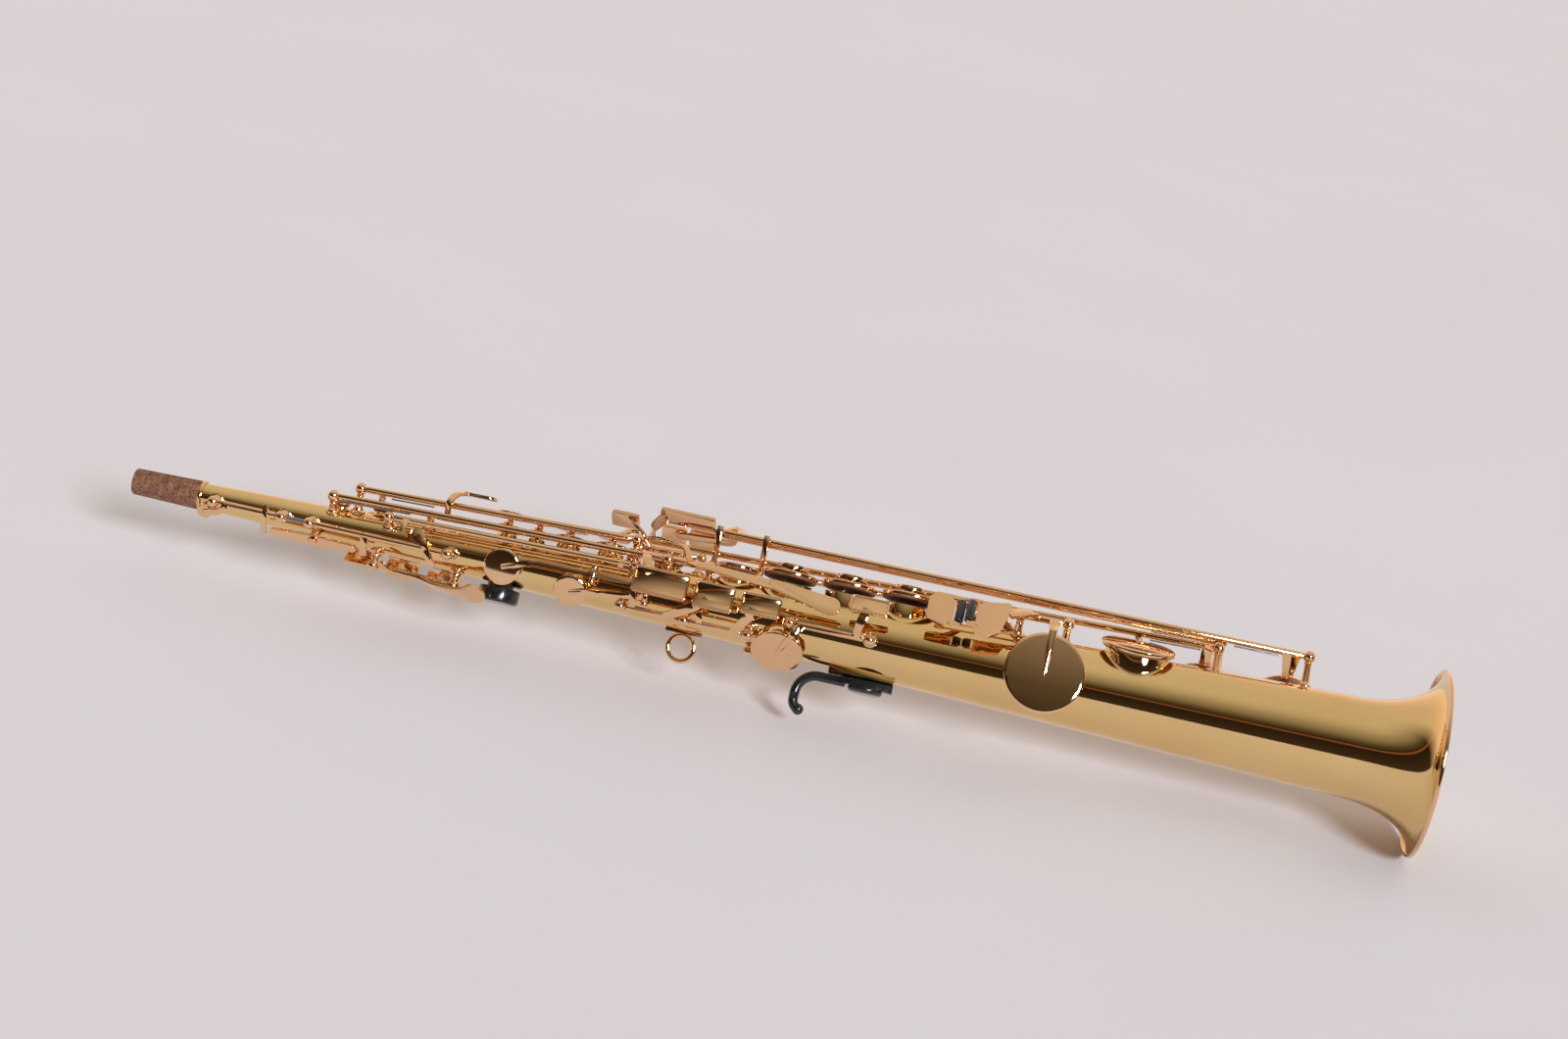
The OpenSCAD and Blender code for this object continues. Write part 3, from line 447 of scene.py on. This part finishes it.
def hole_frame(angle):
    """The way out of a tone hole and the way across it."""
    a = math.radians(angle)
    out = Vector((0, -math.sin(a), math.cos(a)))
    side = Vector((0, -math.cos(a), -math.sin(a)))
    return out, side


def chimney(bm, x, angle, d, height, segments=72):
    """Drawn tone hole: a fillet that grows out of the tube, a wall and a rounded rim."""
    out, side = hole_frame(angle)
    inner = d / 2
    outer = inner + RIM_WALL
    top = tube_r(x) + height
    fillet = min(1.5, height * 0.55)
    rings = []

    def ring(rho, level, follow):
        """follow 1 keeps to the tube's surface plus level; 0 is at a flat height."""
        points = []
        for k in range(segments):
            t = 2 * math.pi * k / segments
            u, v = rho * math.cos(t), rho * math.sin(t)
            r = tube_r(x + u)
            surface = math.sqrt(max(r * r - v * v, 0.1))
            h = (surface + level) if follow else level
            h = min(h, top) if follow else h
            points.append(bm.verts.new(Vector((x + u, 0, 0)) + side * v + out * h))
        rings.append(points)

    for k in range(7):
        t = math.pi / 2 * k / 6
        ring(outer + fillet * (1 - math.sin(t)), fillet * (1 - math.cos(t)) - 0.02, True)
    ring(outer, top - 0.25, False)
    ring(outer - 0.12, top - 0.05, False)
    ring(outer - 0.3, top, False)
    ring(inner + 0.2, top, False)
    ring(inner, top - 0.15, False)
    ring(inner, -WALL - 0.4, True)
    join_rings(bm, rings + rings[:1])


def cut_holes(obj):
    """Opens the tube under every tone hole."""
    cutter_mesh = bpy.data.meshes.new("cutters")
    bm = bmesh.new()
    for x, angle, d, _, _ in HOLES.values():
        out, side = hole_frame(angle)
        made = bmesh.ops.create_cone(bm, cap_ends=True, segments=48, radius1=d / 2 + 0.1,
                                     radius2=d / 2 + 0.1, depth=60)
        across = Vector((1, 0, 0))
        turn = Matrix((across, side, out)).transposed()
        if turn.determinant() < 0:
            turn = Matrix((across, -side, out)).transposed()
        for v in made["verts"]:
            v.co = turn @ Vector((v.co.x, v.co.y, v.co.z + 30)) + Vector((x, 0, 0))
    bmesh.ops.recalc_face_normals(bm, faces=bm.faces)
    for v in bm.verts:
        v.co = lie(v.co) * MM
    bm.to_mesh(cutter_mesh)
    bm.free()
    cutter = bpy.data.objects.new("cutters", cutter_mesh)
    bpy.context.scene.collection.objects.link(cutter)
    modifier = obj.modifiers.new("holes", "BOOLEAN")
    modifier.operation = "DIFFERENCE"
    modifier.solver = "EXACT"
    modifier.use_self = True
    modifier.object = cutter
    apply_modifiers(obj)
    bpy.data.objects.remove(cutter)


def apply_modifiers(obj):
    bpy.context.view_layer.update()
    graph = bpy.context.evaluated_depsgraph_get()
    made = bpy.data.meshes.new_from_object(obj.evaluated_get(graph))
    old = obj.data
    obj.modifiers.clear()
    obj.data = made
    made.name = old.name
    bpy.data.meshes.remove(old)


# ---------------------------------------------------------------- body, bell and neck
def make_body():
    bm = bmesh.new()
    lathe(bm, body_profile())
    tube = piece("body_and_bell", bm, "gold_lacquer")
    cut_holes(tube)
    tube.data.shade_smooth()
    tube.data.set_sharp_from_angle(angle=math.radians(30))
    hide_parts("body_tube", "bell_flare")
    bm = bmesh.new()
    for x, angle, d, height, _ in HOLES.values():
        chimney(bm, x, angle, d, height)
    piece("tone_holes", bm, "gold_lacquer", smooth_angle=60)


def make_rim():
    bm = bmesh.new()
    steps = 20
    profile = [(BODY_L - 1.1 + 1.1 * math.sin(2 * math.pi * k / steps),
                BELL_R - 1.1 + 1.1 * math.cos(2 * math.pi * k / steps)) for k in range(steps)]
    lathe(bm, profile)
    rim = piece("bell_rim_wire", bm, "pink_gold_lacquer", smooth_angle=60)
    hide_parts("bell_rim")


def make_cork():
    """The sleeve tapers towards the tip and its edges are a little crumbled."""
    rng = random.Random(7)
    bm = bmesh.new()
    stations = [0, 0.25, 0.8] + [2 + 31.4 * k / 40 for k in range(41)] + [33.7, 33.95]
    profile = []
    for x in stations:
        r = 6.5 + 0.68 * x / NECK_L
        edge = min(x, NECK_L - x)
        if edge < 0.6:
            r -= 0.35 * (1 - edge / 0.6)
        profile.append((x, r))
    lathe(bm, profile + [(33.95, 5.65), (0, 5.65)], 128)
    for v in bm.verts:
        if math.hypot(v.co.y, v.co.z) > 6:
            v.co.x += rng.uniform(-0.03, 0.03)
            scale = 1 + rng.uniform(-0.004, 0.002)
            v.co.y *= scale
            v.co.z *= scale
    sleeve = piece("cork_sleeve", bm, "cork", smooth_angle=80)
    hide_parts("neck_cork")


# ---------------------------------------------------------------- softened CAD pieces
BEVEL = {"steel": 0.12, "pad_leather": 0.5, "pearl": 0.25, "black_plastic": 0.6}


LOOSE_PAD = ("rh_f_key", "rh_e_key", "rh_d_key", "fs_vent_key", "alt_fs_key")


def largest_island(bm):
    """Keep only the island with the most surface: the pad inside a cup is a piece of its own."""
    todo, islands = set(bm.faces), []
    while todo:
        stack, island = [todo.pop()], []
        while stack:
            face = stack.pop()
            island.append(face)
            for edge in face.edges:
                for other in edge.link_faces:
                    if other in todo:
                        todo.remove(other)
                        stack.append(other)
        islands.append(island)
    islands.sort(key=lambda island: sum(face.calc_area() for face in island))
    gone = [face for island in islands[:-1] for face in island]
    bmesh.ops.delete(bm, geom=gone, context="FACES")


def soften(node):
    """A copy of a CAD node with rounded edges and clean shading."""
    source = NODES[node]
    slot_name = SLOT_OF[node]
    mesh = source.data.copy()
    mesh.name = node + "_fine"
    bm = bmesh.new()
    bm.from_mesh(mesh)
    bmesh.ops.remove_doubles(bm, verts=bm.verts, dist=0.00001)
    if node in LOOSE_PAD:
        largest_island(bm)
    bmesh.ops.dissolve_limit(bm, angle_limit=math.radians(1.2), verts=bm.verts, edges=bm.edges)
    bm.to_mesh(mesh)
    bm.free()
    obj = bpy.data.objects.new(node + "_fine", mesh)
    bpy.context.scene.collection.objects.link(obj)
    mesh.materials.clear()
    mesh.materials.append(MATERIALS[slot_name])
    modifier = obj.modifiers.new("round", "BEVEL")
    modifier.width = BEVEL.get(slot_name, 0.28) * MM
    modifier.segments = 2
    modifier.limit_method = "ANGLE"
    modifier.angle_limit = math.radians(38)
    modifier.harden_normals = True
    modifier.use_clamp_overlap = True
    obj.data.shade_smooth()
    apply_modifiers(obj)
    obj.data.shade_smooth()
    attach(obj, source["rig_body"])
    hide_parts(node)
    return obj


# ---------------------------------------------------------------- detail on cups and posts
def make_domes():
    """Each cup's top is gently crowned, with a rounded shoulder."""
    for key in CUPS:
        radius = HOLES[key][4] / 2 - 0.95
        bm = bmesh.new()
        crown = [(radius * math.sin(t), CUP_H - 0.33 + 0.6 * math.cos(t) ** 2)
                 for t in (math.pi / 2 * k / 10 for k in range(11))]
        turned(bm, cup_place(key), crown + [(radius, CUP_H - 0.7), (0, CUP_H - 0.7)], 96)
        piece(key + "_cup_crown", bm, SLOT_OF[key + "_key"], key + "_key", 50)


def make_pads():
    """Leather pads in the cups whose CAD has none of its own, with the tone hole's ring pressed in."""
    for key in CUPS:
        if key in ("low_c", "low_cs", "low_b", "low_bb"):
            continue
        radius = HOLES[key][4] / 2 - 0.85
        seat = HOLES[key][2] / 2 + RIM_WALL / 2
        bm = bmesh.new()
        turned(bm, cup_place(key), [
            (0, 0.05), (seat - 0.5, 0.05), (seat, 0.14), (seat + 0.5, 0.05), (radius - 0.5, 0.03),
            (radius - 0.1, 0.25), (radius, 0.7), (radius, PAD_T - 0.2), (0, PAD_T - 0.2)], 64)
        piece(key + "_pad", bm, "pad_leather", key + "_key", 60)


# Cups whose arm ends in a spear on top: the point the arm comes from, as station and angle
SPEARS = {
    "high_e": (108, 40), "high_fs": (124, 18), "palm_f": (118, -97), "palm_eb": (137, -97),
    "palm_d": (156, -97), "gsharp": (267.2, -7), "side_c": (206, 84), "side_bb": (241, 107),
    "fs_vent": (301, -35), "alt_fs": (340, 90), "eb": (428, 20), "low_c": (457, 20),
    "low_cs": (499, -22), "low_b": (533, -23.6), "low_bb": (575, -13.6),
}


ARM_LEVEL = 6                   # an arm's height above the tube, roughly


def spear_direction(key):
    """The arm's direction in the cup's own plane, from the cup's middle, in radians from +X."""
    root_x, root_angle = SPEARS[key]
    x, angle, _, _, cup_d = HOLES[key]
    side = -1 if root_angle > angle else 1
    if key in ("side_c", "side_bb", "gsharp"):
        across = math.radians(angle - root_angle) * (tube_r(x) + ARM_LEVEL)
        return math.atan2(across, root_x - x)
    return math.atan2(side * (cup_d / 2 + 0.8), 0.6 * (root_x - x))


def make_spears():
    """The end of each key arm: a raised rib that narrows to a point in the middle of its cup."""
    steps, ribs = 14, 8
    base = CUP_H - 0.3
    for key in SPEARS:
        cup_r = HOLES[key][4] / 2
        scale = min(1, 0.55 + cup_r / 40)
        place = cup_place(key) @ Matrix.Rotation(spear_direction(key), 4, "Z")
        bm = bmesh.new()
        rings = []
        for i in range(steps + 1):
            s = i / steps
            x = (1.14 * s - 0.08) * cup_r
            half = (0.15 + 1.75 * min(1, s * 1.6) ** 0.8) * scale
            rise = (0.25 + 1.25 * math.sin(math.pi * min(1, 0.12 + 0.75 * s))) * scale
            rings.append([bm.verts.new(place @ Vector((
                x, half * math.cos(t), base + 0.55 + rise * math.sin(t) ** 0.8)))
                for t in (math.pi * k / ribs for k in range(ribs + 1))]
                + [bm.verts.new(place @ Vector((x, y, base))) for y in (-half, half)])
        join_rings(bm, rings)
        bm.faces.new(rings[0])
        bm.faces.new(reversed(rings[-1]))
        piece(key + "_arm_rib", bm, SLOT_OF[key + "_key"], key + "_key", 50)


# Finger touches: station, angle, radius, length, width, thickness, key, hinge turn at rest
TOUCHES = [
    (269.5, 79, 25.4, 27, 13, 2, "high_e_key", None),
    (296, 81, 25.4, 19.4, 13, 2, "side_c_touch", None),
    (319, 80, 26.2, 19.4, 10.6, 2, "side_bb_touch", None),
    (369.5, 58, 28.6, 19, 9, 1.8, "alt_fs_key", None),
    (241, -24, 36, 14, 13, 2, "gsharp_key", None),
    (271, -24, 43.2, 28, 12, 2, "low_cs_key", None),
    (264.5, -43, 41.4, 12.6, 12, 2, "low_b_key", (L_LB, 5)),
    (278.5, -43, 42.2, 12.6, 12, 2, "low_bb_key", (L_LBB, 5)),
]


def outline(length, width, corner, steps=6):
    """Points round a rectangle with round corners."""
    points = []
    for cx, cy, start in ((1, 1, 0), (-1, 1, 90), (-1, -1, 180), (1, -1, 270)):
        for k in range(steps + 1):
            t = math.radians(start + 90 * k / steps)
            points.append((cx * (length / 2 - corner) + corner * math.cos(t),
                           cy * (width / 2 - corner) + corner * math.sin(t), t))
    return points


def make_touch_rims():
    """A rounded bead runs round the edge of every flat touch."""
    bead, sides, inset, corner, sink = 0.55, 10, 1.0, 1.2, 0.25
    for x, angle, r, length, width, thick, key, turned_by in TOUCHES:
        place = swing(turned_by) @ facing(x, angle, r)
        bm = bmesh.new()
        rings = []
        for px, py, t in outline(length - inset, width - inset, corner):
            out = Vector((math.cos(t), math.sin(t), 0))
            middle = Vector((px, py, thick - sink))
            rings.append([bm.verts.new(place @ (
                middle + out * bead * math.cos(u) + Vector((0, 0, bead * math.sin(u)))))
                for u in (2 * math.pi * k / sides for k in range(sides))])
        join_rings(bm, rings + rings[:1])
        piece(key + "_rim", bm, SLOT_OF[key], key, 80)


def make_post_turning():
    """A collar under every ball, and a fillet where the pillar meets its foot."""
    bm = bmesh.new()
    for line, stations, ball in POSTS:
        for x in stations:
            middle = on_line(line, x)
            angle = math.degrees(math.atan2(-middle.y, middle.z))
            r = math.hypot(middle.y, middle.z)
            place = facing(x, angle, r)
            neck = -ball / 2 + 0.35
            turned(bm, place, [
                (1.0, neck - 1.5), (1.75, neck - 1.35), (2.05, neck - 0.95), (1.9, neck - 0.5),
                (1.55, neck - 0.3), (1.7, neck), (1.0, neck + 0.5)], 40)
            foot = facing(x, angle, tube_r(x))
            turned(bm, foot, [
                (1.4, 0.5), (3.45, 0.68), (3.0, 0.86), (2.6, 1.2), (2.3, 1.8), (2.1, 2.6), (1.4, 2.7)],
                40)
    piece("post_turning", bm, "pink_gold_lacquer", smooth_angle=50)


# ---------------------------------------------------------------- floor, light and camera
def make_floor():
    mesh = bpy.data.meshes.new("floor")
    bm = bmesh.new()
    bmesh.ops.create_grid(bm, x_segments=1, y_segments=1, size=6)
    for v in bm.verts:
        v.co.z = CAD_BOX[0].z
    bm.to_mesh(mesh)
    bm.free()
    floor = bpy.data.objects.new("floor", mesh)
    bpy.context.scene.collection.objects.link(floor)
    mat, tree, shader = new_material("paper")
    cloud = noise(tree, object_coords(tree), 3, 3)
    tree.links.new(ramp(tree, cloud, [(0.3, (0.775, 0.75, 0.785)), (0.7, (0.795, 0.772, 0.807))]),
                   shader.inputs["Base Color"])
    shader.inputs["Roughness"].default_value = 0.8
    shader.inputs["Specular IOR Level"].default_value = 0.2
    mesh.materials.append(mat)


CAMERA = {"place": (420.69, -1199.05, 510.43), "azimuth": 4.78, "elevation": 20.83,
          "roll": 10.48, "lens": 61.66}


def make_camera():
    az, el, roll = (math.radians(CAMERA[k]) for k in ("azimuth", "elevation", "roll"))
    back = Vector((math.sin(az) * math.cos(el), -math.cos(az) * math.cos(el), math.sin(el)))
    right = Vector((math.cos(az), math.sin(az), 0))
    up = back.cross(right)
    turned_right = math.cos(roll) * right + math.sin(roll) * up
    turned_up = -math.sin(roll) * right + math.cos(roll) * up
    data = bpy.data.cameras.new("camera")
    data.lens = CAMERA["lens"]
    data.sensor_width = 36
    data.clip_start = 0.01
    camera = bpy.data.objects.new("camera", data)
    turn = Matrix((turned_right, turned_up, back)).transposed().to_4x4()
    camera.matrix_world = Matrix.Translation(Vector(CAMERA["place"]) * MM) @ turn
    bpy.context.scene.collection.objects.link(camera)
    bpy.context.scene.camera = camera
    return camera


def sun_light(name, toward, strength, angle, colour):
    data = bpy.data.lights.new(name, "SUN")
    data.energy = strength
    data.angle = math.radians(angle)
    data.color = colour
    light = bpy.data.objects.new(name, data)
    light.rotation_euler = (-Vector(toward)).to_track_quat("-Z", "Y").to_euler()
    bpy.context.scene.collection.objects.link(light)
    return light


def make_light():
    world = bpy.data.worlds.new("studio")
    world.use_nodes = True
    bpy.context.scene.world = world
    tree = world.node_tree
    background = tree.nodes["Background"]
    coords = add(tree, "ShaderNodeTexCoord")
    split = add(tree, "ShaderNodeSeparateXYZ")
    tree.links.new(coords.outputs["Generated"], split.inputs["Vector"])
    near = ramp(tree, split.outputs["Z"], [
        (0.0, (0.05, 0.035, 0.025)), (0.42, (0.022, 0.015, 0.009)), (0.46, (0.30, 0.11, 0.05)),
        (0.50, (0.03, 0.022, 0.012)), (0.62, (0.10, 0.085, 0.05)), (0.85, (0.40, 0.36, 0.29)),
        (1.0, (0.66, 0.62, 0.54))])
    far = ramp(tree, split.outputs["Z"], [
        (0.0, (1.0, 0.82, 0.72)), (0.3, (0.92, 0.70, 0.57)), (0.6, (0.72, 0.62, 0.52)),
        (1.0, (0.66, 0.62, 0.54))])
    side = add(tree, "ShaderNodeMapRange")
    side.inputs["From Min"].default_value = -0.16
    side.inputs["From Max"].default_value = 0.24
    tree.links.new(split.outputs["Y"], side.inputs["Value"])
    side = side.outputs["Result"]
    tree.links.new(mix_colours(tree, side, near, far), background.inputs["Color"])
    background.inputs["Strength"].default_value = 1.0
    sun_light("key", (1.25, -1.9, 1.25), 2.95, 17, (0.86, 0.92, 1))


# ---------------------------------------------------------------- make everything
bpy.context.scene.view_settings.view_transform = "Standard"
make_camera()
make_floor()
make_light()
make_body()
make_rim()
make_cork()
make_domes()
make_pads()
make_spears()
make_touch_rims()
make_post_turning()
for node_name in sorted(NODES):
    if node_name not in ("body_tube", "bell_flare", "bell_rim", "neck_cork"):
        soften(node_name)
